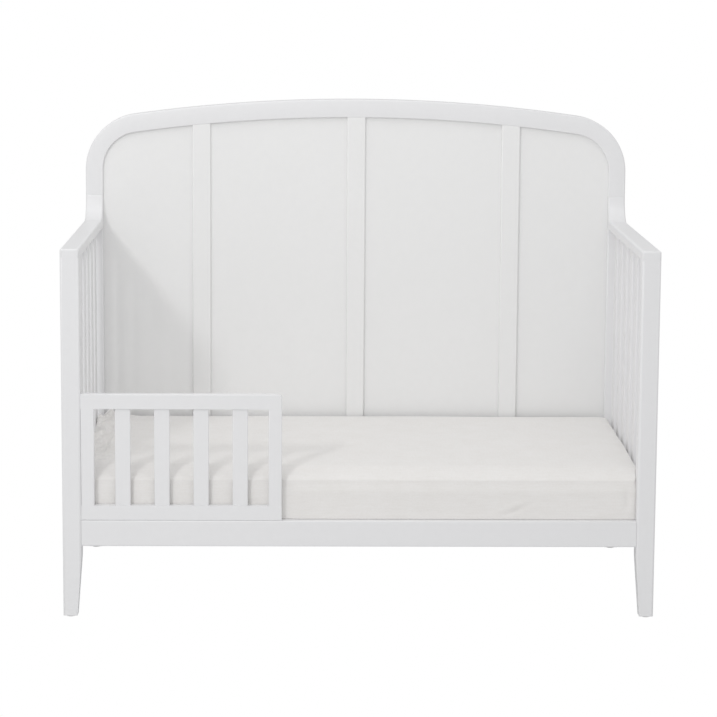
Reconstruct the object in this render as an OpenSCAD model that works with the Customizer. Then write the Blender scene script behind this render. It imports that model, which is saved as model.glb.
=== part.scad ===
// Toddler bed with an arched, panelled headboard, slatted ends, a half-length guard rail and a mattress.
// Millimetres. X is the bed's length, Y its depth with the open front at the low end, Z is up.
// The origin is on the floor, under the centre of the bed's outline.

/* [Overall] */
// Length over the outer faces of the posts
bed_length = 1425; // [1380:1:1480]
// Depth from the front legs' front face to the rear legs' back face
bed_depth = 790; // [770:1:840]
// Height of the arms' top surface
arm_height = 892; // [800:1:950]
// Height of the headboard at the middle of its arch
headboard_height = 1208; // [1170:1:1260]

/* [Posts and arms] */
// Width and depth of the posts, width of the arms and depth of the arch
post_w = 45; // [42:1:50]
// Rounding along the long edges of the posts and the arms
edge_r = 5; // [2:0.5:7]
// Width of a leg at the floor, after its two inner faces have tapered
foot_w = 34; // [28:1:42]
// Height at which the taper of the legs starts
taper_h = 150; // [100:1:170]
// Thickness of an arm
arm_t = 22; // [20:1:26]
// Radius of the concave sweep from an arm up to the arch
sweep_r = 62; // [50:1:80]

/* [End panels] */
// Width of an end slat
end_slat_w = 50; // [46:1:56]
// Thickness of an end slat
end_slat_t = 16; // [12:1:20]
// Thickness of the rail under the end slats
end_rail_t = 22; // [20:1:26]
// Height of the rail under the end slats
end_rail_h = 90; // [70:1:100]
// Depth that slats and dowels enter their rails
slat_tenon = 10; // [6:1:12]

/* [Headboard] */
// Radius of the arch's long curve
arch_r = 4150; // [3600:10:4600]
// Width of the arch along its top
arch_w = 47; // [42:1:54]
// Radius of the arch's outer corners
corner_r = 148; // [110:1:170]
// Radius of the arch's inner corners
inner_corner_r = 98; // [70:1:120]
// Width of a batten between two panels
batten_w = 48; // [40:1:56]
// Thickness of the battens and of the headboard's bottom rail
batten_t = 25; // [22:1:30]
// Distance between the middles of two battens
batten_pitch = 408; // [380:1:430]
// Thickness of a panel
panel_t = 8; // [6:0.5:10]
// Distance of the panels behind the arch's front face
panel_recess = 9; // [6:0.5:12]
// Depth that a panel's edge enters its groove
panel_tongue = 8; // [5:0.5:10]
// Height of the headboard's bottom rail
head_rail_h = 90; // [70:1:110]
// Width of the stiles behind the outer panels
back_stile_w = 40; // [36:1:60]

/* [Front] */
// Height of the underside of all the lower rails
rail_bottom = 174; // [170:1:200]
// Height of the front rail
front_rail_h = 63; // [55:1:80]
// Thickness of the front rail
front_rail_t = 25; // [22:1:25]
// Length of the guard rail, from the left post
guard_length = 481; // [440:1:560]
// Height of the guard rail
guard_h = 307; // [280:1:330]
// Thickness of the guard rail's frame
guard_t = 20; // [18:1:22]
// Height of the guard rail's top and bottom rails
guard_rail_h = 36; // [30:1:42]
// Width of the guard rail's two stiles
guard_stile_w = 32; // [28:1:36]
// Width of a guard rail slat
guard_slat_w = 37; // [30:1:42]
// Thickness of a guard rail slat
guard_slat_t = 11; // [9:1:14]
// Distance between the middles of two guard rail slats
guard_pitch = 93.7; // [88:0.1:96]
// Radius of the guard rail's free top corner
guard_corner_r = 10; // [4:1:20]

/* [Mattress and its support] */
// Length of the mattress
mattress_length = 1326; // [1300:1:1328]
// Width of the mattress
mattress_width = 690; // [680:1:694]
// Thickness of the mattress
mattress_t = 152; // [100:1:152]
// Height of the surface that carries the mattress
support_top = 210; // [205:1:220]
// Length of each leg of the steel angles
angle_leg = 25; // [20:1:26]
// Thickness of the steel angles and the brackets
steel_t = 2.5; // [2:0.5:3]
// Diameter of the support's wires
wire_d = 4; // [3:0.5:5]

/* [Hidden] */
$fn = 64;
FINE = 256; // facets that stand for a long, flat arc
OVER = 1; // how far a cut runs past the face that it opens
LEFT = -1;
RIGHT = 1;
PAINT = [0.93, 0.93, 0.935];
STEEL = [0.80, 0.81, 0.82];
ZINC = [0.72, 0.73, 0.74];
BEECH = [0.78, 0.62, 0.42];
PLASTIC = [0.90, 0.90, 0.90];
SHEET = [0.94, 0.93, 0.92];

half_l = bed_length / 2;
front_y = -bed_depth / 2;
head_y = bed_depth / 2 - post_w; // front face of the rear legs and of the arch
post_in_x = half_l - post_w; // inner faces of the posts
post_mid_x = half_l - post_w / 2;
arm_bottom = arm_height - arm_t;
joint_z = arm_height + sweep_r; // where the arms end and the arch begins

// Headboard
arch_z = headboard_height - arch_r; // centre of the long curve
panel_y = head_y + panel_recess;
back_stile_y = panel_y + panel_t;
back_stile_t = head_y + post_w - back_stile_y;
back_stile_top = 1010;
batten_set = 0.5; // how far the battens stand behind the arch's front face
batten_round = 3;
head_rail_top = rail_bottom + head_rail_h;
panel_foot = head_rail_top - panel_tongue;
function batten_x(i) = (i - 2) * batten_pitch; // middle of batten i

// Ends
end_slats = 6;
end_clear = head_y - front_y - post_w; // between the front and the rear leg
end_gap = (end_clear - end_slats * end_slat_w) / (end_slats + 1);
end_rail_top = rail_bottom + end_rail_h;
end_rail_in_x = post_mid_x - end_rail_t / 2;
end_slat_round = 3;

// Front
rail_set = 2; // how far the front rail stands behind the posts' front faces
rail_y = front_y + rail_set;
rail_back_y = rail_y + front_rail_t;
rail_round = 3;
rail_top = rail_bottom + front_rail_h;
guard_set = 4; // how far the guard rail stands behind the posts' front faces
guard_y = front_y + guard_set;
guard_slats = 4;
guard_top = rail_top + guard_h;
guard_end_x = -post_in_x + guard_length;
guard_mid_x = -post_in_x + guard_length / 2;
guard_foot_top = rail_top + guard_rail_h;
guard_head_bottom = guard_top - guard_rail_h;
guard_tenon = 8;
guard_round = 2.5;

// Mattress and support
mattress_set = 4; // between the front rail and the mattress
mattress_y = rail_back_y + mattress_set;
mattress_corner_r = 12;
mattress_gap = 0.5; // between the mattress and the steel around it
frame_x = mattress_length / 2 + mattress_gap + steel_t; // outer faces of the end angles
frame_y0 = mattress_y - mattress_gap - steel_t;
frame_y1 = mattress_y + mattress_width + mattress_gap + steel_t;
ledge_z = support_top - steel_t; // underside of the angles
cross_wires = 13;
long_wires = 6;
long_wire_z = support_top - wire_d - wire_d / 2; // the long wires lie under the cross wires
wire_inset = 20; // from the end angles to the ends of the long wires
bracket_w = 60;
bracket_h = 48;
bracket_inset = 95; // from a leg to the middle of a bracket
bracket_bolt_inset = 14; // from an end angle's outer face to its bolts
bracket_bolt_x = frame_x - bracket_bolt_inset;
bracket_lip = 12; // from the middle of a bracket's bolt to the edge of its shelf
bracket_screw_y = 18; // from a bracket's middle to its screws
bracket_screw_drop = 14; // from a bracket's top to its screws
BRACKET_Y = [front_y + post_w + bracket_inset, head_y - bracket_inset];

// Fasteners
bolt_r = 3;
bolt_fit = 0.3; // clearance around a bolt's shank
bolt_sink = 4; // depth of the seat under a bolt's head
bolt_length = 75;
head_r = 6.5;
head_h = 3.5;
nut_r = 5;
nut_length = 14;
nut_inset = 22; // from a post's inner face to a barrel nut
nut_reach = post_w + nut_inset;
dowel_r = 4;
dowel_length = 36;
glide_r = 11;
glide_h = 3;
pin_r = 1.5;
pin_length = 15;
screw_r = 2;
screw_length = 18;
screw_head_r = 4;
screw_head_h = 2.5;
hex_r = 2.4; // socket in a bolt's head
hex_depth = 2;
seat_fit = 0.5; // clearance around a bolt's head
nut_hole_length = 40;
under_head_r = 5; // heads under the brackets
under_head_h = 4;
dowel_drop = 2; // from an arm's underside to the middle of its dowels
bolt_y_rail = rail_y + front_rail_t / 2;
bolt_y_head = head_y + batten_t / 2;
bolt_y_stile = back_stile_y + back_stile_t / 2;
bolt_y_guard = guard_y + guard_t / 2;
// Height and depth of the bolts that pass through the posts into the rails, stiles and guard rail
rail_bolt_edge = 16; // from the front rail's edges to its bolts
FRONT_BOLTS = [[bolt_y_rail, rail_bottom + rail_bolt_edge], [bolt_y_rail, rail_top - rail_bolt_edge]];
REAR_BOLTS = [
    [bolt_y_head, rail_bottom + head_rail_h / 2],
    [bolt_y_stile, 330],
    [bolt_y_stile, 820],
    [bolt_y_stile, 985]
];
GUARD_BOLT = [bolt_y_guard, guard_top - guard_rail_h / 2];
guard_screw_inset = 70; // from the guard rail's ends to the bolts through its foot
GUARD_SCREW_X = [-post_in_x + guard_screw_inset, guard_end_x - guard_screw_inset];
guard_bolt_length = 90;
// Upright dowels behind a post's front face, and heights of the end rails' dowels
DOWEL_Y = [12, 33];
DOWEL_Z = [rail_bottom + 25, rail_bottom + 65];

// ---- Helpers ----

// A rectangle from the origin with rounded corners
module soft_rect(w, d, r) {
    translate([r, 0]) square([w - 2 * r, d]);
    translate([0, r]) square([w, d - 2 * r]);
    for (x = [r, w - r], y = [r, d - r]) translate([x, y]) circle(r);
}

// A rectangle from the origin with only its two upper corners rounded
module cap_rect(w, d, r) {
    soft_rect(w, d, r);
    square([w, d - r]);
}

// The corner that a rounding of radius r takes away, with the corner's tip at the origin
module cove(r) {
    difference() {
        translate([-OVER, -OVER]) square(r + OVER);
        translate([r, r]) circle(r);
    }
}

// Extrudes a shape drawn in X and Z along Y, from y to y + t
module stand_up(y, t) {
    translate([0, y + t, 0]) rotate([90, 0, 0]) linear_extrude(t) children();
}

// Extrudes a shape drawn in Y and Z along X, from x to x + t
module lay_along(x, t) {
    translate([x, 0, 0]) rotate([90, 0, 90]) linear_extrude(t) children();
}

// Draws a left-hand piece on either side of the bed
module on_side(side) {
    mirror([side == RIGHT ? 1 : 0, 0, 0]) children();
}

// ---- Fasteners and their holes, on the left side ----

module bolt_x(y, z) {
    translate([-half_l + bolt_sink - head_h, y, z]) rotate([0, 90, 0]) {
        difference() {
            cylinder(r = head_r, h = head_h);
            translate([0, 0, -OVER]) cylinder(r = hex_r, h = hex_depth + OVER, $fn = 6);
        }
        translate([0, 0, head_h]) cylinder(r = bolt_r, h = bolt_length);
    }
}

module bolt_hole_x(y, z) {
    translate([-half_l, y, z]) rotate([0, 90, 0]) {
        translate([0, 0, -OVER]) cylinder(r = head_r + seat_fit, h = bolt_sink + OVER);
        cylinder(r = bolt_r + bolt_fit, h = bolt_sink + bolt_length + OVER);
    }
}

// A barrel nut lies across its bolt, with its end flush in a hole from the back of the piece.
module nut_y(x, y, z) {
    translate([x, y, z]) rotate([90, 0, 0]) cylinder(r = nut_r, h = nut_length, center = true);
}

module nut_hole_y(x, y, z) {
    translate([x, y - nut_length / 2, z]) rotate([-90, 0, 0]) cylinder(r = nut_r, h = nut_hole_length);
}

module side_nut(y, z) nut_y(-half_l + nut_reach, y, z);
module side_nut_hole(y, z) nut_hole_y(-half_l + nut_reach, y, z);

// ---- Dowels of the left end: each is a plain rod, and its holes are its own shape ----

module upright_dowel(y, z) {
    translate([-post_mid_x, y, z - dowel_length / 2]) cylinder(r = dowel_r, h = dowel_length);
}

module end_dowels() {
    for (post_y = [front_y, head_y], y = DOWEL_Y)
        upright_dowel(post_y + y, arm_bottom - dowel_drop);
    for (y = DOWEL_Y)
        upright_dowel(head_y + y, joint_z);
    for (y = [front_y + post_w, head_y], z = DOWEL_Z)
        translate([-post_mid_x, y, z]) rotate([90, 0, 0])
            cylinder(r = dowel_r, h = dowel_length, center = true);
}

// ---- End panels ----

// The wedge that the taper takes off a leg's inner face, with the face's foot at the origin
module taper_cut() {
    taper = post_w - foot_w;
    polygon([[-taper, 0], [0, taper_h], [OVER, taper_h], [OVER, -OVER], [-taper, -OVER]]);
}

// A post of the left side with its foot tapered on the inner faces; reach is +1 in front, -1 behind
module post(y, reach) {
    difference() {
        translate([-half_l, y, glide_h]) linear_extrude(arm_bottom - glide_h)
            soft_rect(post_w, post_w, edge_r);
        stand_up(y - OVER, post_w + 2 * OVER) translate([-post_in_x, glide_h]) taper_cut();
        lay_along(-half_l - OVER, post_w + 2 * OVER)
            translate([reach > 0 ? y + post_w : y, glide_h]) mirror([reach > 0 ? 0 : 1, 0])
                taper_cut();
        translate([-half_l + foot_w / 2, reach > 0 ? y + foot_w / 2 : y + post_w - foot_w / 2, 0])
            cylinder(r = pin_r, h = glide_h + pin_length);
        end_dowels();
    }
}

module front_leg(side) {
    color(PAINT) on_side(side) difference() {
        post(front_y, 1);
        for (b = FRONT_BOLTS) bolt_hole_x(b[0], b[1]);
        if (side == LEFT) bolt_hole_x(GUARD_BOLT[0], GUARD_BOLT[1]);
    }
}

module rear_leg(side) {
    color(PAINT) on_side(side) difference() {
        post(head_y, -1);
        for (b = REAR_BOLTS) bolt_hole_x(b[0], b[1]);
    }
}

// Side view of an arm: a flat board that sweeps up into a block over the rear leg
module arm_profile() {
    difference() {
        translate([front_y, arm_bottom]) square([bed_depth, arm_t]);
        translate([front_y, arm_height]) mirror([0, 1]) cove(edge_r);
    }
    translate([head_y, arm_bottom]) square([post_w, joint_z - arm_bottom]);
    difference() {
        translate([head_y - sweep_r, arm_height - OVER]) square([sweep_r + OVER, sweep_r + OVER]);
        translate([head_y - sweep_r, joint_z]) circle(sweep_r);
    }
}

// The rounding along one top edge of an arm, from its front end to the top of the sweep
module arm_edge_cut() {
    translate([0, front_y - OVER, arm_height]) rotate([-90, 0, 0])
        linear_extrude(head_y - sweep_r - front_y + OVER) cove(edge_r);
    translate([0, head_y - sweep_r, joint_z]) rotate([90, 0, 90]) rotate([0, 0, -90])
        rotate_extrude(angle = 90) translate([sweep_r, 0]) cove(edge_r);
}

module arm(side) {
    color(PAINT) on_side(side) difference() {
        intersection() {
            lay_along(-half_l, post_w) arm_profile();
            translate([-half_l, front_y, 0]) linear_extrude(joint_z) soft_rect(post_w, bed_depth, edge_r);
        }
        translate([-half_l, 0, 0]) arm_edge_cut();
        translate([-post_in_x, 0, 0]) mirror([1, 0, 0]) arm_edge_cut();
        for (i = [1:end_slats]) end_slat_body(i);
        end_dowels();
    }
}

module end_rail(side) {
    color(PAINT) on_side(side) difference() {
        translate([-end_rail_in_x - end_rail_t, front_y + post_w, rail_bottom])
            cube([end_rail_t, end_clear, end_rail_h]);
        for (i = [1:end_slats]) end_slat_body(i);
        end_dowels();
        for (y = BRACKET_Y) bracket_screw_pair(y);
    }
}

module end_slat_body(i) {
    translate([
        -post_mid_x - end_slat_t / 2,
        front_y + post_w + i * end_gap + (i - 1) * end_slat_w,
        end_rail_top - slat_tenon
    ])
        linear_extrude(arm_bottom - end_rail_top + 2 * slat_tenon)
            soft_rect(end_slat_t, end_slat_w, end_slat_round);
}

module end_slat(side, i) {
    color(PAINT) on_side(side) end_slat_body(i);
}

// ---- Headboard ----

// Outline in X and Z of an arch above z. Its sides lie side in from the posts' outer faces, its long
// curve lies top in from the headboard's, and its corners have the radius r and meet the curve smoothly.
module arch_outline(side, top, r, z) {
    x = half_l - side - r;
    turn = asin(x / (arch_r - top - r));
    corner_z = arch_z + (arch_r - top - r) * cos(turn);
    top_z = corner_z + 2 * r;
    top_x = x + 2 * r * tan(turn);
    intersection() {
        translate([0, arch_z]) circle(arch_r - top, $fn = FINE);
        polygon([[-x, corner_z], [x, corner_z], [top_x, top_z], [-top_x, top_z]]);
    }
    for (s = [-x, x]) translate([s, corner_z]) circle(r);
    translate([-half_l + side, z]) square([bed_length - 2 * side, corner_z - z]);
}

// The opening inside the arch and the posts, above z, with its edge moved out by grow
module arch_opening(grow, z) {
    arch_outline(post_w - grow, arch_w - grow, inner_corner_r + grow, z);
}

// All four panels as one sheet, with its edges in the grooves
module panel_sheet() {
    stand_up(panel_y, panel_t) intersection() {
        arch_opening(panel_tongue, panel_foot);
        union() {
            translate([-half_l, joint_z]) square([bed_length, headboard_height]);
            translate([-post_in_x, panel_foot]) square([2 * post_in_x, headboard_height]);
        }
    }
}

module headboard_arch() {
    color(PAINT) difference() {
        stand_up(head_y, post_w) difference() {
            intersection() {
                arch_outline(0, 0, corner_r, joint_z);
                translate([-half_l, joint_z]) square([bed_length, headboard_height]);
            }
            arch_opening(0, joint_z - OVER);
        }
        panel_sheet();
        for (side = [LEFT, RIGHT]) on_side(side) {
            bolt_hole_x(REAR_BOLTS[3][0], REAR_BOLTS[3][1]);
            end_dowels();
        }
    }
}

module headboard_bottom_rail() {
    color(PAINT) difference() {
        translate([-post_in_x, head_y, rail_bottom]) cube([2 * post_in_x, batten_t, head_rail_h]);
        panel_sheet();
        for (side = [LEFT, RIGHT]) on_side(side) {
            bolt_hole_x(REAR_BOLTS[0][0], REAR_BOLTS[0][1]);
            side_nut_hole(REAR_BOLTS[0][0], REAR_BOLTS[0][1]);
        }
    }
}

module headboard_stile(side) {
    color(PAINT) on_side(side) difference() {
        translate([-post_in_x, back_stile_y, head_rail_top])
            cube([back_stile_w, back_stile_t, back_stile_top - head_rail_top]);
        for (i = [1:3]) {
            bolt_hole_x(REAR_BOLTS[i][0], REAR_BOLTS[i][1]);
            side_nut_hole(REAR_BOLTS[i][0], REAR_BOLTS[i][1]);
        }
    }
}

// Panel i, out to the bottom of the grooves that hold it
module panel_body(i) {
    start = i == 1 ? -half_l : batten_x(i - 1) + batten_w / 2 - panel_tongue;
    end = i == 4 ? half_l : batten_x(i) - batten_w / 2 + panel_tongue;
    intersection() {
        panel_sheet();
        stand_up(panel_y - OVER, panel_t + 2 * OVER)
            translate([start, panel_foot - OVER]) square([end - start, headboard_height]);
    }
}

module headboard_panel(i) {
    color(PAINT) panel_body(i);
}

module headboard_batten(i) {
    color(PAINT) difference() {
        intersection() {
            translate([batten_x(i) - batten_w / 2, head_y + batten_set, head_rail_top])
                linear_extrude(headboard_height - head_rail_top)
                    soft_rect(batten_w, batten_t - batten_set, batten_round);
            stand_up(head_y, batten_t) arch_opening(0, head_rail_top);
        }
        panel_body(i);
        panel_body(i + 1);
    }
}

// ---- Front rail and guard rail ----

module front_rail() {
    color(PAINT) difference() {
        lay_along(-post_in_x, 2 * post_in_x) translate([rail_y, rail_bottom])
            soft_rect(front_rail_t, front_rail_h, rail_round);
        for (side = [LEFT, RIGHT]) on_side(side) for (b = FRONT_BOLTS) {
            bolt_hole_x(b[0], b[1]);
            side_nut_hole(b[0], b[1]);
        }
        for (x = GUARD_SCREW_X) guard_bolt_hole(x);
    }
}

module guard_bolt_hole(x) {
    translate([x, bolt_y_guard, rail_bottom]) {
        translate([0, 0, -OVER]) cylinder(r = head_r + seat_fit, h = bolt_sink + OVER);
        cylinder(r = bolt_r + bolt_fit, h = bolt_sink + guard_bolt_length + OVER);
    }
}

module guard_nut_z(x) nut_y(x, bolt_y_guard, rail_top + guard_rail_h / 2);

// Everything over the guard rail's plan, which is rounded at its free end and runs on into the post
module guard_plan() {
    translate([-half_l, guard_y, rail_top]) linear_extrude(guard_h)
        soft_rect(guard_end_x + half_l, guard_t, guard_round);
}

module guard_top_rail() {
    color(PAINT) difference() {
        intersection() {
            lay_along(-post_in_x, guard_length) translate([guard_y, guard_head_bottom])
                cap_rect(guard_t, guard_rail_h, guard_round);
            stand_up(guard_y, guard_t) difference() {
                translate([-post_in_x, guard_head_bottom]) square([guard_length, guard_rail_h]);
                translate([guard_end_x, guard_top]) rotate(180) cove(guard_corner_r);
            }
            guard_plan();
        }
        for (i = [1:guard_slats]) guard_slat_body(i);
        bolt_hole_x(GUARD_BOLT[0], GUARD_BOLT[1]);
        side_nut_hole(GUARD_BOLT[0], GUARD_BOLT[1]);
    }
}

module guard_bottom_rail() {
    color(PAINT) difference() {
        intersection() {
            lay_along(-post_in_x, guard_length) translate([guard_y, guard_foot_top]) mirror([0, 1])
                cap_rect(guard_t, guard_rail_h, guard_round);
            guard_plan();
        }
        for (i = [1:guard_slats]) guard_slat_body(i);
        for (x = GUARD_SCREW_X) {
            guard_bolt_hole(x);
            nut_hole_y(x, bolt_y_guard, rail_top + guard_rail_h / 2);
        }
    }
}

module guard_stile(x) {
    color(PAINT) translate([x, guard_y, guard_foot_top])
        linear_extrude(guard_head_bottom - guard_foot_top) soft_rect(guard_stile_w, guard_t, guard_round);
}

module guard_post_stile() guard_stile(-post_in_x);
module guard_free_stile() guard_stile(guard_end_x - guard_stile_w);

module guard_slat_body(i) {
    translate([
        guard_mid_x + (i - (guard_slats + 1) / 2) * guard_pitch - guard_slat_w / 2,
        guard_y + (guard_t - guard_slat_t) / 2,
        guard_foot_top - guard_tenon
    ])
        linear_extrude(guard_head_bottom - guard_foot_top + 2 * guard_tenon)
            soft_rect(guard_slat_w, guard_slat_t, guard_round);
}

module guard_slat(i) {
    color(PAINT) guard_slat_body(i);
}

// ---- Mattress and its support ----

module mattress() {
    color(SHEET) translate([-mattress_length / 2, mattress_y, support_top + mattress_gap])
        linear_extrude(mattress_t) soft_rect(mattress_length, mattress_width, mattress_corner_r);
}

// An angle section in Y and Z or X and Z: a flat leg inwards and an upright leg outside
module angle_section() {
    square([angle_leg, steel_t]);
    square([steel_t, angle_leg]);
}

module support_front_angle() {
    color(STEEL) lay_along(-frame_x, 2 * frame_x) translate([frame_y0, ledge_z]) angle_section();
}

module support_rear_angle() {
    color(STEEL) lay_along(-frame_x, 2 * frame_x) translate([frame_y1, ledge_z]) mirror([1, 0])
        angle_section();
}

module support_end_angle(side) {
    color(STEEL) on_side(side) difference() {
        stand_up(frame_y0 + angle_leg, frame_y1 - frame_y0 - 2 * angle_leg)
            translate([-frame_x, ledge_z]) angle_section();
        for (y = BRACKET_Y) translate([-bracket_bolt_x, y, ledge_z - OVER])
            cylinder(r = bolt_r, h = steel_t + 2 * OVER);
    }
}

module support_cross_wires() {
    span = 2 * (frame_x - angle_leg);
    color(STEEL) for (i = [1:cross_wires])
        translate([-span / 2 + i * span / (cross_wires + 1), frame_y0 + angle_leg, support_top - wire_d / 2])
            rotate([-90, 0, 0])
                cylinder(r = wire_d / 2, h = frame_y1 - frame_y0 - 2 * angle_leg);
}

module support_long_wires() {
    span = 2 * (frame_x - angle_leg - wire_inset);
    depth = frame_y1 - frame_y0 - 2 * angle_leg;
    color(STEEL) for (i = [1:long_wires])
        translate([
            -span / 2,
            frame_y0 + angle_leg + i * depth / (long_wires + 1),
            long_wire_z
        ])
            rotate([0, 90, 0]) cylinder(r = wire_d / 2, h = span);
}

// A bracket on the end rail's inner face, with a shelf under the end angle
module bracket(side, y) {
    shelf = end_rail_in_x - bracket_bolt_x + bracket_lip;
    color(STEEL) on_side(side) translate([-end_rail_in_x, y - bracket_w / 2, ledge_z - steel_t])
        difference() {
            union() {
                cube([steel_t, bracket_w, bracket_h]);
                cube([shelf, bracket_w, steel_t]);
            }
            translate([end_rail_in_x - bracket_bolt_x, bracket_w / 2, -OVER])
                cylinder(r = bolt_r + bolt_fit, h = steel_t + 2 * OVER);
            for (s = [-1, 1])
                translate([-OVER, bracket_w / 2 + s * bracket_screw_y, bracket_h - bracket_screw_drop])
                    rotate([0, 90, 0]) cylinder(r = screw_r, h = steel_t + 2 * OVER);
        }
}

// ---- Fastener groups ----

module bed_bolts() {
    color(ZINC) {
        for (side = [LEFT, RIGHT]) on_side(side)
            for (b = concat(FRONT_BOLTS, REAR_BOLTS)) bolt_x(b[0], b[1]);
        bolt_x(GUARD_BOLT[0], GUARD_BOLT[1]);
    }
}

module guard_bolts() {
    color(ZINC) for (x = GUARD_SCREW_X) translate([x, bolt_y_guard, rail_bottom + bolt_sink - head_h]) {
        difference() {
            cylinder(r = head_r, h = head_h);
            translate([0, 0, -OVER]) cylinder(r = hex_r, h = hex_depth + OVER, $fn = 6);
        }
        translate([0, 0, head_h]) cylinder(r = bolt_r, h = guard_bolt_length);
    }
}

// Each barrel nut has a cross hole that its bolt fills.
module barrel_nuts() {
    color(ZINC) difference() {
        union() {
            for (side = [LEFT, RIGHT]) on_side(side)
                for (b = concat(FRONT_BOLTS, REAR_BOLTS)) side_nut(b[0], b[1]);
            side_nut(GUARD_BOLT[0], GUARD_BOLT[1]);
            for (x = GUARD_SCREW_X) guard_nut_z(x);
        }
        for (side = [LEFT, RIGHT]) on_side(side)
            for (b = concat(FRONT_BOLTS, REAR_BOLTS, [GUARD_BOLT])) translate([-half_l, b[0], b[1]])
                rotate([0, 90, 0]) cylinder(r = bolt_r, h = bolt_sink + bolt_length);
        for (x = GUARD_SCREW_X) translate([x, bolt_y_guard, rail_bottom])
            cylinder(r = bolt_r, h = bolt_sink + guard_bolt_length);
    }
}

module dowels() {
    color(BEECH) for (side = [LEFT, RIGHT]) on_side(side) end_dowels();
}

// Two screws of the bracket at y, seated on its inner face
module bracket_screw_pair(y) {
    for (s = [-1, 1]) translate([
        -end_rail_in_x + steel_t + screw_head_h,
        y + s * bracket_screw_y,
        ledge_z - steel_t + bracket_h - bracket_screw_drop
    ])
        rotate([0, -90, 0]) {
            cylinder(r = screw_head_r, h = screw_head_h);
            cylinder(r = screw_r, h = screw_head_h + steel_t + screw_length);
        }
}

module bracket_screws() {
    color(ZINC) for (side = [LEFT, RIGHT]) on_side(side) for (y = BRACKET_Y) bracket_screw_pair(y);
}

module bracket_bolts() {
    color(ZINC) for (side = [LEFT, RIGHT]) on_side(side) for (y = BRACKET_Y)
        translate([-bracket_bolt_x, y, ledge_z - steel_t]) {
            translate([0, 0, -under_head_h]) cylinder(r = under_head_r, h = under_head_h, $fn = 6);
            cylinder(r = bolt_r, h = 2 * steel_t);
        }
}

module foot_glides() {
    color(PLASTIC) for (side = [LEFT, RIGHT]) on_side(side)
        for (y = [front_y + foot_w / 2, head_y + post_w - foot_w / 2])
            translate([-half_l + foot_w / 2, y, 0]) {
                cylinder(r = glide_r, h = glide_h);
                cylinder(r = pin_r, h = glide_h + pin_length);
            }
}

// ---- Nodes ----

front_leg(LEFT);  // left_front_leg
front_leg(RIGHT);  // right_front_leg
rear_leg(LEFT);  // left_rear_leg
rear_leg(RIGHT);  // right_rear_leg
arm(LEFT);  // left_arm
arm(RIGHT);  // right_arm
end_rail(LEFT);  // left_end_rail
end_rail(RIGHT);  // right_end_rail
for (i = [1:end_slats]) {
    end_slat(LEFT, i);
    end_slat(RIGHT, i);
}
headboard_arch();
headboard_bottom_rail();
headboard_stile(LEFT);  // headboard_left_stile
headboard_stile(RIGHT);  // headboard_right_stile
for (i = [1:3]) headboard_batten(i);
for (i = [1:4]) headboard_panel(i);
front_rail();
guard_top_rail();
guard_bottom_rail();
guard_post_stile();
guard_free_stile();
for (i = [1:guard_slats]) guard_slat(i);
mattress();
support_front_angle();
support_rear_angle();
support_end_angle(LEFT);  // support_left_angle
support_end_angle(RIGHT);  // support_right_angle
support_cross_wires();
support_long_wires();
bracket(LEFT, BRACKET_Y[0]);  // left_front_bracket
bracket(LEFT, BRACKET_Y[1]);  // left_rear_bracket
bracket(RIGHT, BRACKET_Y[0]);  // right_front_bracket
bracket(RIGHT, BRACKET_Y[1]);  // right_rear_bracket
bed_bolts();
guard_bolts();
barrel_nuts();
dowels();
bracket_screws();
bracket_bolts();
foot_glides();
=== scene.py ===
"""A toddler bed with a lift-out mattress: its materials, softened edges, arch and soft goods."""
import math

import bmesh
import bpy
import numpy as np
from mathutils import Matrix, Vector, noise


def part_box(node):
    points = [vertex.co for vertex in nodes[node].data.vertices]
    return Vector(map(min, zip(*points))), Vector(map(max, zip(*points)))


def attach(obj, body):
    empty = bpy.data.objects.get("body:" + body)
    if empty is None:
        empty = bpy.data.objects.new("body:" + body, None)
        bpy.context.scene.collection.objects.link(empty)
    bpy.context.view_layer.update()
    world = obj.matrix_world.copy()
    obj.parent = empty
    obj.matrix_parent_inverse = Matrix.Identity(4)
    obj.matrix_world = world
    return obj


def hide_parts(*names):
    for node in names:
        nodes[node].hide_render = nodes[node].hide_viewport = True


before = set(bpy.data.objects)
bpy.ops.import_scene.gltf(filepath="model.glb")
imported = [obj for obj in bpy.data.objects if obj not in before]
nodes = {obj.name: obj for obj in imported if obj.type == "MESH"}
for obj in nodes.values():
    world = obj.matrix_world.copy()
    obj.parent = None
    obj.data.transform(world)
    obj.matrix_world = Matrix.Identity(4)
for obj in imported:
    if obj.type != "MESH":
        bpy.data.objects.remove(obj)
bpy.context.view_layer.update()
scene = bpy.context.scene
scene.view_settings.view_transform = "Standard"

# ---------------------------------------------------------------- camera, floor and lights

LENS_MM = 131.16
SENSOR_MM = 36.0
CAMERA_AT = Vector((-0.1213, -6.5394, 1.5697))
YAW, PITCH, ROLL = (math.radians(a) for a in (1.086, 8.669, 0.360))
FLOOR_HALF = 14
FLOOR_Z = -0.001  # just under the glides, so that the two faces don't fight


def add_camera():
    ahead = Vector((math.sin(YAW), math.cos(YAW), 0))
    side = Vector((math.cos(YAW), -math.sin(YAW), 0))
    up = Vector((0, 0, 1))
    forward = math.cos(PITCH) * ahead - math.sin(PITCH) * up
    tilted = math.sin(PITCH) * ahead + math.cos(PITCH) * up
    right = math.cos(ROLL) * side + math.sin(ROLL) * tilted
    top = -math.sin(ROLL) * side + math.cos(ROLL) * tilted
    data = bpy.data.cameras.new("camera")
    data.lens = LENS_MM
    data.sensor_width = SENSOR_MM
    data.clip_end = 60
    camera = bpy.data.objects.new("camera", data)
    turn = Matrix((right, top, -forward)).transposed().to_4x4()
    camera.matrix_world = Matrix.Translation(CAMERA_AT) @ turn
    scene.collection.objects.link(camera)
    scene.camera = camera


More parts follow.
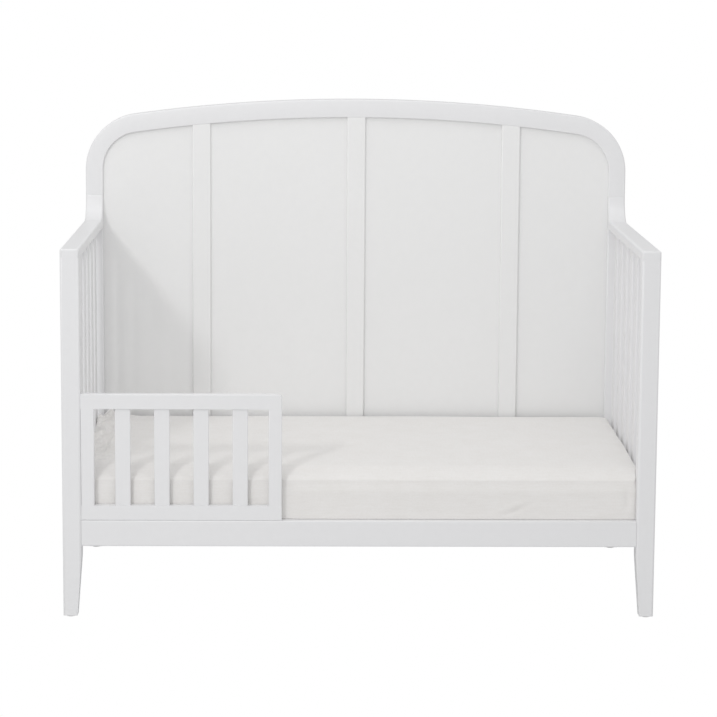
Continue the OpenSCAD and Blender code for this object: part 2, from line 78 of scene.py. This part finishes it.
def add_area(name, at, look_at, size, power):
    data = bpy.data.lights.new(name, "AREA")
    data.shape = "RECTANGLE"
    data.size, data.size_y = size
    data.energy = power
    lamp = bpy.data.objects.new(name, data)
    lamp.location = at
    lamp.rotation_euler = (Vector(look_at) - Vector(at)).to_track_quat("-Z", "Y").to_euler()
    scene.collection.objects.link(lamp)


def seen_or_lit(tree, lit, seen, output):
    """Shows one shader to the eye, and lights the scene with the other."""
    path = tree.nodes.new("ShaderNodeLightPath")
    mix = tree.nodes.new("ShaderNodeMixShader")
    tree.links.new(path.outputs["Is Camera Ray"], mix.inputs["Fac"])
    tree.links.new(lit.outputs[0], mix.inputs[1])
    tree.links.new(seen.outputs[0], mix.inputs[2])
    tree.links.new(mix.outputs[0], output.inputs["Surface"])


def add_world():
    world = bpy.data.worlds.new("studio")
    world.use_nodes = True
    tree = world.node_tree
    back = tree.nodes["Background"]
    back.inputs["Color"].default_value = (1, 1, 1, 1)
    back.inputs["Strength"].default_value = 0.65
    white = tree.nodes.new("ShaderNodeBackground")
    white.inputs["Color"].default_value = (1, 1, 1, 1)
    seen_or_lit(tree, back, white, tree.nodes["World Output"])
    scene.world = world


def add_floor():
    mesh = bpy.data.meshes.new("floor")
    corners = [(x * FLOOR_HALF, y * FLOOR_HALF, FLOOR_Z) for x, y in ((-1, -1), (1, -1), (1, 1), (-1, 1))]
    mesh.from_pydata(corners, [], [(0, 1, 2, 3)])
    floor = bpy.data.objects.new("floor", mesh)
    scene.collection.objects.link(floor)
    mat = bpy.data.materials.new("floor_paper")
    mat.use_nodes = True
    bsdf = mat.node_tree.nodes["Principled BSDF"]
    bsdf.inputs["Base Color"].default_value = (0.55, 0.55, 0.55, 1)
    bsdf.inputs["Roughness"].default_value = 0.9
    bsdf.inputs["Specular IOR Level"].default_value = 0.1
    bsdf.inputs["Emission Color"].default_value = (1, 1, 1, 1)
    bsdf.inputs["Emission Strength"].default_value = 0.24
    white = mat.node_tree.nodes.new("ShaderNodeEmission")
    white.inputs["Color"].default_value = (1, 1, 1, 1)
    seen_or_lit(mat.node_tree, bsdf, white, mat.node_tree.nodes["Material Output"])
    mesh.materials.append(mat)


add_camera()
add_world()
add_floor()
add_area("key", (-2.08, -3.93, 2.69), (-0.3, 0.2, 0.6), (0.42, 0.42), 30)
add_area("overhead", (-0.2, -0.6, 2.9), (0, 0.2, 0.5), (3.2, 1.6), 13)
add_area("fill", (-1.4, -4.2, 2.6), (0, 0.1, 0.55), (3.4, 2.6), 18.5)

# ---------------------------------------------------------------- materials


class Shader:
    """Builds one material's nodes. Its coordinates are the piece's own, in metres."""

    def __init__(self, name):
        self.mat = bpy.data.materials.new(name)
        self.mat.use_nodes = True
        self.nodes = self.mat.node_tree.nodes
        self.links = self.mat.node_tree.links
        self.bsdf = self.nodes["Principled BSDF"]
        self.where = self.nodes.new("ShaderNodeTexCoord").outputs["Object"]

    def node(self, kind, **values):
        made = self.nodes.new(kind)
        for key, value in values.items():
            made.inputs[key].default_value = value
        return made

    def scaled(self, factors):
        mapping = self.nodes.new("ShaderNodeMapping")
        mapping.inputs["Scale"].default_value = factors
        self.links.new(self.where, mapping.inputs["Vector"])
        return mapping.outputs["Vector"]

    def noise(self, scale, detail=3.0, rough=0.5, stretch=(1, 1, 1)):
        made = self.node("ShaderNodeTexNoise", Scale=scale, Detail=detail, Roughness=rough)
        self.links.new(self.scaled(stretch), made.inputs["Vector"])
        return made.outputs["Fac"]

    def ramp(self, source, low, high, span=(0.3, 0.7)):
        made = self.nodes.new("ShaderNodeMapRange")
        made.inputs["From Min"].default_value, made.inputs["From Max"].default_value = span
        made.inputs["To Min"].default_value, made.inputs["To Max"].default_value = low, high
        self.links.new(source, made.inputs["Value"])
        return made.outputs["Result"]

    def mix(self, factor, a, b):
        made = self.nodes.new("ShaderNodeMix")
        made.data_type = "RGBA"
        for key, value in ((6, a), (7, b)):
            if isinstance(value, tuple):
                made.inputs[key].default_value = (*value, 1)
            else:
                self.links.new(value, made.inputs[key])
        self.links.new(factor, made.inputs[0])
        return made.outputs[2]

    def add(self, a, b, kind="ADD"):
        made = self.nodes.new("ShaderNodeMath")
        made.operation = kind
        for key, value in ((0, a), (1, b)):
            if isinstance(value, (int, float)):
                made.inputs[key].default_value = value
            else:
                self.links.new(value, made.inputs[key])
        return made.outputs[0]

    def wave(self, axis, period):
        """A sine along one axis, 0 to 1, with that period in metres."""
        split = self.nodes.new("ShaderNodeSeparateXYZ")
        self.links.new(self.where, split.inputs[0])
        turns = self.add(split.outputs[axis], 2 * math.pi / period, "MULTIPLY")
        return self.ramp(self.add(turns, 0.0, "SINE"), 0.0, 1.0, (-1, 1))

    def bump(self, height, strength, distance, after=None):
        made = self.node("ShaderNodeBump", Strength=strength, Distance=distance)
        self.links.new(height, made.inputs["Height"])
        if after is not None:
            self.links.new(after, made.inputs["Normal"])
        self.links.new(made.outputs[0], self.bsdf.inputs["Normal"])
        return made.outputs[0]

    def plug(self, socket, value):
        if isinstance(value, (int, float, tuple)):
            self.bsdf.inputs[socket].default_value = value
        else:
            self.links.new(value, self.bsdf.inputs[socket])


def lacquer(name, colour, grain):
    """Sprayed satin lacquer: nearly even, with a little orange peel and the wood's pores under it."""
    s = Shader(name)
    dim = tuple(c * 0.988 for c in colour)
    broad = s.noise(3.5, 4.0)
    fine = s.noise(60, 3.0)
    s.plug("Base Color", s.mix(s.ramp(s.add(broad, fine, "MULTIPLY"), 0.0, 1.0, (0.15, 0.4)), dim, colour))
    s.plug("Roughness", s.ramp(s.noise(45, 4.0), 0.38, 0.44))
    s.plug("Coat Weight", 0.18)
    s.plug("Coat Roughness", 0.22)
    peel = s.bump(s.noise(520, 2.0), 0.05, 0.0003)
    s.bump(s.noise(90, 5.0, 0.6, grain), 0.04, 0.0004, peel)
    return s.mat


def cotton(name, colour):
    """Plain-woven cotton: crossed threads, slubs, and a soft matt nap."""
    s = Shader(name)
    dim = tuple(c * v for c, v in zip(colour, (0.955, 0.95, 0.94)))
    threads = s.add(s.wave("X", 0.0009), s.add(s.wave("Y", 0.0009), s.wave("Z", 0.0009)))
    slubs = s.add(s.noise(240, 3.0, 0.5, (1, 0.12, 1)), s.noise(240, 3.0, 0.5, (0.12, 1, 1)))
    tone = s.ramp(s.add(slubs, s.noise(14, 4.0)), 0.0, 1.0, (1.1, 1.9))
    s.plug("Base Color", s.mix(tone, dim, colour))
    s.plug("Roughness", s.ramp(s.noise(120, 3.0), 0.86, 0.97))
    s.plug("Sheen Weight", 0.18)
    s.plug("Sheen Roughness", 0.5)
    s.plug("Specular IOR Level", 0.25)
    weave = s.bump(threads, 0.10, 0.0002)
    s.bump(slubs, 0.12, 0.0004, weave)
    return s.mat


def powder_coat(name, colour):
    s = Shader(name)
    dim = tuple(c * 0.93 for c in colour)
    s.plug("Base Color", s.mix(s.ramp(s.noise(30, 4.0), 0.0, 1.0), dim, colour))
    s.plug("Roughness", s.ramp(s.noise(160, 3.0), 0.42, 0.56))
    s.bump(s.noise(900, 2.0), 0.22, 0.0003)
    return s.mat


def zinc(name):
    s = Shader(name)
    s.plug("Base Color", s.mix(s.ramp(s.noise(70, 4.0), 0.0, 1.0), (0.50, 0.51, 0.53), (0.68, 0.69, 0.71)))
    s.plug("Metallic", 1.0)
    s.plug("Roughness", s.ramp(s.noise(220, 4.0), 0.26, 0.44))
    s.bump(s.noise(600, 3.0), 0.12, 0.0002)
    return s.mat


def beech(name):
    s = Shader(name)
    grain = s.noise(70, 6.0, 0.65, (1, 1, 0.06))
    s.plug("Base Color", s.mix(s.ramp(grain, 0.0, 1.0), (0.50, 0.34, 0.18), (0.70, 0.53, 0.33)))
    s.plug("Roughness", s.ramp(grain, 0.5, 0.7))
    s.bump(grain, 0.25, 0.0005)
    return s.mat


def moulded(name, colour):
    s = Shader(name)
    dim = tuple(c * 0.92 for c in colour)
    s.plug("Base Color", s.mix(s.ramp(s.noise(90, 3.0), 0.0, 1.0), dim, colour))
    s.plug("Roughness", s.ramp(s.noise(300, 3.0), 0.5, 0.66))
    s.bump(s.noise(1400, 2.0), 0.2, 0.0002)
    return s.mat


WHITE = (0.83, 0.83, 0.84)
MATS = {
    "paint_up": lacquer("paint_upright", WHITE, (1, 1, 0.05)),
    "paint_x": lacquer("paint_lengthwise", WHITE, (0.05, 1, 1)),
    "paint_y": lacquer("paint_crosswise", WHITE, (1, 0.05, 1)),
    # The headboard's panels and battens take a lighter copy of the white lacquer: painted light,
    # brightening them past the posts' paint to stand in for light they lack.
    "panel": lacquer("paint_panel_painted_lighter", (0.864, 0.864, 0.862), (1, 1, 1)),
    "steel": powder_coat("powder_coat", (0.62, 0.63, 0.65)),
    "zinc": zinc("zinc_plate"),
    "beech": beech("bare_beech"),
    "plastic": moulded("glide_plastic", (0.72, 0.72, 0.72)),
}

LENGTHWISE = ("front_rail", "guard_top_rail", "guard_bottom_rail", "headboard_bottom_rail")
CROSSWISE = ("left_arm", "right_arm", "left_end_rail", "right_end_rail")
ZINC = ("bed_bolts", "guard_bolts", "barrel_nuts", "bracket_screws", "bracket_bolts")


def material_for(name):
    if name in ZINC:
        return MATS["zinc"]
    if name == "dowels":
        return MATS["beech"]
    if name == "foot_glides":
        return MATS["plastic"]
    if name.startswith("support_") or name.endswith("_bracket"):
        return MATS["steel"]
    # Panels and battens get the lighter lacquer copy, whose extra brightness is painted light.
    if name.startswith(("headboard_panel", "headboard_batten")):
        return MATS["panel"]
    if name in LENGTHWISE:
        return MATS["paint_x"]
    if name in CROSSWISE:
        return MATS["paint_y"]
    return MATS["paint_up"]


def soften(obj, width, segments=2):
    """Rounds a piece's sharp edges a little, as sanding and paint do."""
    weld = obj.modifiers.new("weld", "WELD")
    weld.merge_threshold = 0.00002
    bevel = obj.modifiers.new("bevel", "BEVEL")
    bevel.width = width
    bevel.segments = segments
    bevel.limit_method = "ANGLE"
    bevel.angle_limit = math.radians(32)
    bevel.harden_normals = True


SOFT_EDGE = {"headboard_bottom_rail": 0.0015, "left_end_rail": 0.0015, "right_end_rail": 0.0015}

for name, obj in nodes.items():
    obj.data.materials.clear()
    obj.data.materials.append(material_for(name))
    if name in ("mattress", "headboard_arch") or material_for(name) in (MATS["zinc"], MATS["beech"]):
        continue
    soften(obj, SOFT_EDGE.get(name, 0.0008))

# ---------------------------------------------------------------- headboard arch


def mesh_object(name, points, faces, material):
    mesh = bpy.data.meshes.new(name)
    mesh.from_pydata([tuple(p) for p in points], [], faces)
    mesh.validate()
    mesh.materials.append(material)
    for polygon in mesh.polygons:
        polygon.use_smooth = True
    obj = bpy.data.objects.new(name, mesh)
    scene.collection.objects.link(obj)
    return obj


ARCH_LONG_R = 4.150
ARCH_CORNER_R = 0.148
ARCH_INNER_CORNER_R = 0.098
ARCH_SIDE_WIDTH = 0.045
ARCH_TOP_WIDTH = 0.047
ARCH_OUTER_EDGE_R = 0.004
ARCH_INNER_EDGE_R = 0.0016


def arch_line(half, side_in, top_in, corner_r, long_r, apex, foot):
    """Points up one side, round a corner, along the long curve and down the other side, as X and Z."""
    corner_x = half - side_in - corner_r
    centre_z = apex - long_r
    reach = long_r - top_in - corner_r
    lean = math.asin(corner_x / reach)
    corner_z = centre_z + reach * math.cos(lean)
    line = [(half - side_in, foot + t * (corner_z - foot)) for t in (0, 0.02, 0.5)]
    for i in range(29):
        a = i / 28 * (math.pi / 2 - lean)
        line.append((corner_x + corner_r * math.cos(a), corner_z + corner_r * math.sin(a)))
    for i in range(1, 31):
        a = lean * (1 - i / 30)
        line.append(((long_r - top_in) * math.sin(a), centre_z + (long_r - top_in) * math.cos(a)))
    return line + [(-x, z) for x, z in reversed(line[:-1])]


def rounded_section(width, depth, outer_r, inner_r, steps):
    """Points round a section, as (outwards, backwards) from its middle; its two inner edges are sharper."""
    points = []
    corners = ((1, 1, outer_r), (-1, 1, inner_r), (-1, -1, inner_r), (1, -1, outer_r))
    for k, (cx, cy, radius) in enumerate(corners):
        for i in range(steps + 1):
            a = math.pi / 2 * (k + i / steps)
            points.append((
                cx * (width / 2 - radius) + radius * math.cos(a),
                cy * (depth / 2 - radius) + radius * math.sin(a),
            ))
    return points


def make_arch():
    """The arch with its edges rounded, between its outer line and the line of its opening."""
    low, high = (Vector(v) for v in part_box("headboard_arch"))
    ends = (ARCH_LONG_R, high.z, low.z)
    outer = arch_line(high.x, 0, 0, ARCH_CORNER_R, *ends)
    inner = arch_line(high.x, ARCH_SIDE_WIDTH, ARCH_TOP_WIDTH, ARCH_INNER_CORNER_R, *ends)
    section = (high.y - low.y, ARCH_OUTER_EDGE_R, ARCH_INNER_EDGE_R, 5)
    y = (low.y + high.y) / 2
    points, faces = [], []
    for a, b in zip(outer, inner):
        middle = ((a[0] + b[0]) / 2, (a[1] + b[1]) / 2)
        width = math.hypot(a[0] - b[0], a[1] - b[1])
        away = ((a[0] - b[0]) / width, (a[1] - b[1]) / width)
        for out, back in rounded_section(width, *section):
            points.append((middle[0] + out * away[0], y + back, middle[1] + out * away[1]))
    count = len(points) // len(outer)
    for i in range(len(outer) - 1):
        for j in range(count):
            k = (j + 1) % count
            a, b = i * count + j, i * count + k
            faces.append((a, b, b + count, a + count))
    faces.append(tuple(range(count - 1, -1, -1)))
    faces.append(tuple(range(len(points) - count, len(points))))
    arch = mesh_object("arch_rail", points, faces, MATS["paint_x"])
    bevel = arch.modifiers.new("bevel", "BEVEL")
    bevel.width = 0.0006
    bevel.segments = 2
    bevel.limit_method = "ANGLE"
    bevel.angle_limit = math.radians(60)
    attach(arch, "frame")
    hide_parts("headboard_arch")


make_arch()

# ---------------------------------------------------------------- mattress and fitted sheet

LOW, HIGH = (Vector(v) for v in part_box("mattress"))
PLAN_R = 0.0035
PROUD = 0.0042  # how far the sheet's crease stands out from the mattress's sides
ANGLE_TOP = 0.0235  # height over the underside at which the sheet rises past the steel angles
RAIL_TOP = 0.0266  # height over the underside at which it rises past the front rail
EVEN_FROM = 0.032  # height over the underside from which the rings of the sheet's side are spaced evenly
ON_FACE = 0.004  # a point this close to a side of the mattress belongs to that side
GUARD_END = -0.168  # X at which the guard rail's back no longer holds the sheet in
POST_REAR = -0.350  # Y of the rear faces of the front legs
END_OUT = 0.0065  # how far the sheet's ends fill out towards the end slats
REAR_OUT = 0.0115  # how far its back fills out towards the headboard

# Dents in the front face, and one ridge with a minus: depth, place as X and Z, half sizes, lean
PUCKERS = (
    (0.0042, (0.648, 0.288), (0.008, 0.020), 0.1),
    (0.0030, (0.372, 0.256), (0.034, 0.0045), 0.42),
    (-0.0012, (0.366, 0.268), (0.036, 0.006), 0.42),
    (0.0036, (0.462, 0.243), (0.016, 0.0040), 0.05),
    (0.0026, (0.528, 0.242), (0.007, 0.0035), 0.3),
    (0.0022, (-0.575, 0.282), (0.012, 0.004), 0.0),
    (0.0022, (-0.265, 0.280), (0.010, 0.004), 0.0),
)


def outline(inset, nx, ny, nc):
    """Points round the mattress's plan, moved in by inset, with nx and ny steps a side and nc a corner."""
    x0, y0, x1, y1 = LOW.x + inset, LOW.y + inset, HIGH.x - inset, HIGH.y - inset
    r = max(0.0, PLAN_R - inset)
    ring = []
    sides = (
        ((x0 + r, y0), (x1 - r, y0), nx, (x1 - r, y0 + r), -90),
        ((x1, y0 + r), (x1, y1 - r), ny, (x1 - r, y1 - r), 0),
        ((x1 - r, y1), (x0 + r, y1), nx, (x0 + r, y1 - r), 90),
        ((x0, y1 - r), (x0, y0 + r), ny, (x0 + r, y0 + r), 180),
    )
    for start, end, steps, centre, turn in sides:
        for i in range(steps):
            t = i / steps
            ring.append((start[0] + t * (end[0] - start[0]), start[1] + t * (end[1] - start[1])))
        for i in range(nc):
            a = math.radians(turn + 90 * i / nc)
            ring.append((centre[0] + r * math.cos(a), centre[1] + r * math.sin(a)))
    return ring


def smooth(low, high, value):
    t = min(1.0, max(0.0, (value - low) / (high - low)))
    return t * t * (3 - 2 * t)


def wobble(x, y, z, scale):
    """Smooth noise about 0, with lumps of about that size in metres."""
    return noise.noise(Vector((x, y, z)) / scale, noise_basis="PERLIN_ORIGINAL")


def fall(distance, depth, reach, power):
    """A drop of that depth at an edge, which eases to nothing at that reach."""
    t = min(1.0, max(0.0, distance) / reach)
    return depth * (1 - t) ** power


def bunching(x, y):
    """How far the sheet stands up in folds where it is drawn together at the left end."""
    near = 1 - smooth(-0.652, -0.578, x + 0.016 * wobble(0, y, 5, 0.08))
    phase = (y - 3.0 * x) / 0.112 + 1.1 * wobble(2.5 * x, y, 7, 0.11)
    fold = abs(math.sin(math.pi * phase))
    fine = wobble(4 * x, y, 11, 0.05)
    broad = wobble(2 * x, y, 2, 0.13)
    return near * (0.0150 * (1 - fold) ** 0.8 + 0.0070 * fine + 0.0055 * broad + 0.003)


def top_height(x, y):
    """Height of the sheet's top: pillowed along the open front, fuller towards the headboard."""
    across = (y - LOW.y) / (HIGH.y - LOW.y)
    front = fall(y - LOW.y + PROUD, depth=0.0225, reach=0.066, power=1.7)
    lip = fall(y - LOW.y + PROUD, depth=0.0040, reach=0.012, power=2.2)
    back = fall(HIGH.y - y + PROUD, depth=0.0025, reach=0.016, power=2)
    ends = fall(min(x - LOW.x, HIGH.x - x) + PROUD, depth=0.0055, reach=0.030, power=2)
    drop = (front ** 3 + back ** 3 + ends ** 3) ** (1 / 3)
    z = HIGH.z - 0.004 + 0.0075 * smooth(0, 0.55, across) - drop - lip
    calm = smooth(0.0, 0.05, y - LOW.y)
    z += 0.0012 * calm * wobble(x, y, 0, 0.30) + 0.0005 * calm * wobble(x, y, 3, 0.08)
    z += 0.0004 * (1 - calm) * wobble(x, y, 4, 0.035)
    return z + bunching(x, y) * smooth(-0.01, 0.07, y - LOW.y)


def pucker(x, z, at, size, lean):
    """A soft dent of unit depth on the front face, as a stretched bell round a point."""
    u, v = x - at[0], z - at[1]
    c, s = math.cos(lean), math.sin(lean)
    return math.exp(-(((c * u + s * v) / size[0]) ** 2) - ((c * v - s * u) / size[1]) ** 2)


def face_bulge(x, y, height, crease):
    """How far the sheet's side stands out from the mattress, at that height over its underside."""
    in_front = y < LOW.y + ON_FACE
    free = smooth(ANGLE_TOP - 0.001, ANGLE_TOP + 0.0012, height)
    above = smooth(RAIL_TOP, RAIL_TOP + 0.0006, height)
    up = height / crease
    over_rail = 0.0026 + 0.0028 * smooth(GUARD_END, -0.140, x) if in_front else 0.0004
    out = -0.0004 + free * 0.0042 + above * over_rail
    if out > PROUD - 0.0002:
        out -= smooth(0.75, 1.0, up) * (out - PROUD)
    slack = smooth(RAIL_TOP, RAIL_TOP + 0.020, height) * (1 - smooth(0.85, 1.0, up))
    broad = wobble(x, y, height * 0.35, 0.055)
    fine = wobble(x, y, height, 0.018)
    out += slack * (0.0008 * broad + 0.0003 * fine - 0.0005)
    from_end = min(abs(x - LOW.x), abs(HIGH.x - x))
    from_side = min(abs(y - LOW.y), abs(HIGH.y - y))
    corner = smooth(0.09, 0.02, from_end + from_side)
    pleat = math.sin((x + y) * 2 * math.pi / 0.021 + 3 * wobble(x, y, height, 0.05))
    out -= corner * (1 - up) * 0.0004 * (1 + pleat)
    if in_front:
        for depth, at, size, lean in PUCKERS:
            out -= slack * depth * pucker(x, LOW.z + height, at, size, lean)
    elif x < LOW.x + ON_FACE:
        lump = 0.0022 + 0.0050 * wobble(0, y, height * 0.5, 0.06) + 0.0020 * wobble(0, y, height, 0.02)
        out += smooth(0.45, 0.9, up) * min(0.0040, lump) * smooth(POST_REAR - 0.002, -0.320, y)
    return out


def spread(x, y, z):
    """Moves a point of the sheet out where its ends and back fill the space between the posts."""
    up = smooth(LOW.z + 0.055, LOW.z + 0.120, z)
    behind = smooth(POST_REAR + 0.001, -0.300, y)
    end = smooth(0.050, -0.004, min(x - LOW.x, HIGH.x - x))
    rear = smooth(0.050, -0.004, HIGH.y - y)
    lump = 1.0 + 0.25 * wobble(0, y, z * 0.5, 0.12)
    side = -1 if x < 0 else 1
    return (x + side * end * up * behind * END_OUT * lump, y + rear * up * REAR_OUT, z)


def quads(rows, count, base=0):
    return [
        (base + i * count + j, base + i * count + (j + 1) % count,
         base + (i + 1) * count + (j + 1) % count, base + (i + 1) * count + j)
        for i in range(rows - 1) for j in range(count)
    ]


def outward(ring):
    """Unit directions away from a closed ring of points in plan."""
    p = np.array(ring)
    along = np.roll(p, -1, axis=0) - np.roll(p, 1, axis=0)
    along /= np.maximum(np.linalg.norm(along, axis=1, keepdims=True), 1e-9)
    return np.stack([along[:, 1], -along[:, 0]], axis=1)


def make_sheet(nx=262, ny=138, nc=6):
    """Rings from the gathered hem underneath, up the sides and in over the top, and a grid to close it."""
    side = outline(0.0, nx, ny, nc)
    away = outward(side)
    count = len(side)
    points = []
    for inset in (0.056, 0.050, 0.043, 0.030, 0.016, 0.006):
        for j, (x, y) in enumerate(outline(inset, nx, ny, nc)):
            gather = max(0.0, (inset - 0.035) / 0.02) * math.sin(j * 1.3 + 2 * wobble(x, y, 0, 0.1))
            lift = 0.0010 + 0.0005 * gather
            points.append((x, y, LOW.z + lift))
    low_heights = [0.0016, 0.005, 0.010, 0.016, 0.020, 0.0222, 0.0232, 0.0242, 0.0248, 0.0254, 0.0260]
    low_heights += [0.0266, 0.0272, 0.0280, 0.0295, EVEN_FROM]
    rings = [(height, 0.0) for height in low_heights]
    rings += [(EVEN_FROM, share) for share in [i / 22 for i in range(1, 22)] + [0.985]]
    crease = [top_height(x + PROUD * a, y + PROUD * b) - LOW.z for (x, y), (a, b) in zip(side, away)]
    for start, share in rings:
        for (x, y), (a, b), c in zip(side, away, crease):
            h = start + share * (c - EVEN_FROM)
            out = face_bulge(x, y, h, c)
            points.append(spread(x + out * a, y + out * b, LOW.z + h))
    insets = [-PROUD + 0.0004, -PROUD + 0.0018, -PROUD + 0.004]
    insets += [-PROUD + 0.004 + 0.092 * (i / 22) ** 1.3 for i in range(1, 23)]
    for inset in insets:
        for x, y in outline(inset, nx, ny, nc):
            points.append(spread(x, y, top_height(x, y)))
    rows = len(points) // count
    faces = quads(rows, count)
    inset = insets[-1]
    x0, x1, y0, y1 = LOW.x + inset, HIGH.x - inset, LOW.y + inset, HIGH.y - inset
    base = len(points)
    for j in range(ny + 1):
        for i in range(nx + 1):
            x, y = x0 + (x1 - x0) * i / nx, y0 + (y1 - y0) * j / ny
            points.append(spread(x, y, top_height(x, y)))
    for j in range(ny):
        for i in range(nx):
            a = base + j * (nx + 1) + i
            faces.append((a, a + 1, a + nx + 2, a + nx + 1))
    return points, faces


def weld_and_clean(obj, distance):
    bm = bmesh.new()
    bm.from_mesh(obj.data)
    bmesh.ops.remove_doubles(bm, verts=bm.verts, dist=distance)
    bmesh.ops.dissolve_degenerate(bm, edges=bm.edges, dist=distance / 2)
    bmesh.ops.recalc_face_normals(bm, faces=bm.faces)
    bm.to_mesh(obj.data)
    bm.free()
    for polygon in obj.data.polygons:
        polygon.use_smooth = True


sheet = mesh_object("fitted_sheet", *make_sheet(), cotton("sheet_cotton", (0.855, 0.841, 0.828)))
weld_and_clean(sheet, 0.00004)
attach(sheet, "mattress")
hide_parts("mattress")


def make_core(nx=60, ny=32, nc=4):
    """The mattress inside the sheet, which shows only from below."""
    crease = 0.112
    inside = 0.0045
    reach = 0.09
    rings = [(0.014, 0.0022), (0.007, 0.0035)]
    rings += [(inside, 0.006 + (crease - 0.006) * i / 10) for i in range(11)]
    for d in (0.01, 0.025, 0.045, reach):
        rings.append((inside + d, crease + 0.024 * (1 - (1 - d / reach) ** 1.7)))
    points = [(x, y, LOW.z + h) for inset, h in rings for x, y in outline(inset, nx, ny, nc)]
    count = len(points) // len(rings)
    faces = quads(len(rings), count)
    faces.append(tuple(range(count - 1, -1, -1)))
    faces.append(tuple(range(len(points) - count, len(points))))
    return points, faces


core = mesh_object("mattress_core", *make_core(), cotton("mattress_ticking", (0.76, 0.77, 0.78)))
weld_and_clean(core, 0.00004)
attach(core, "mattress")
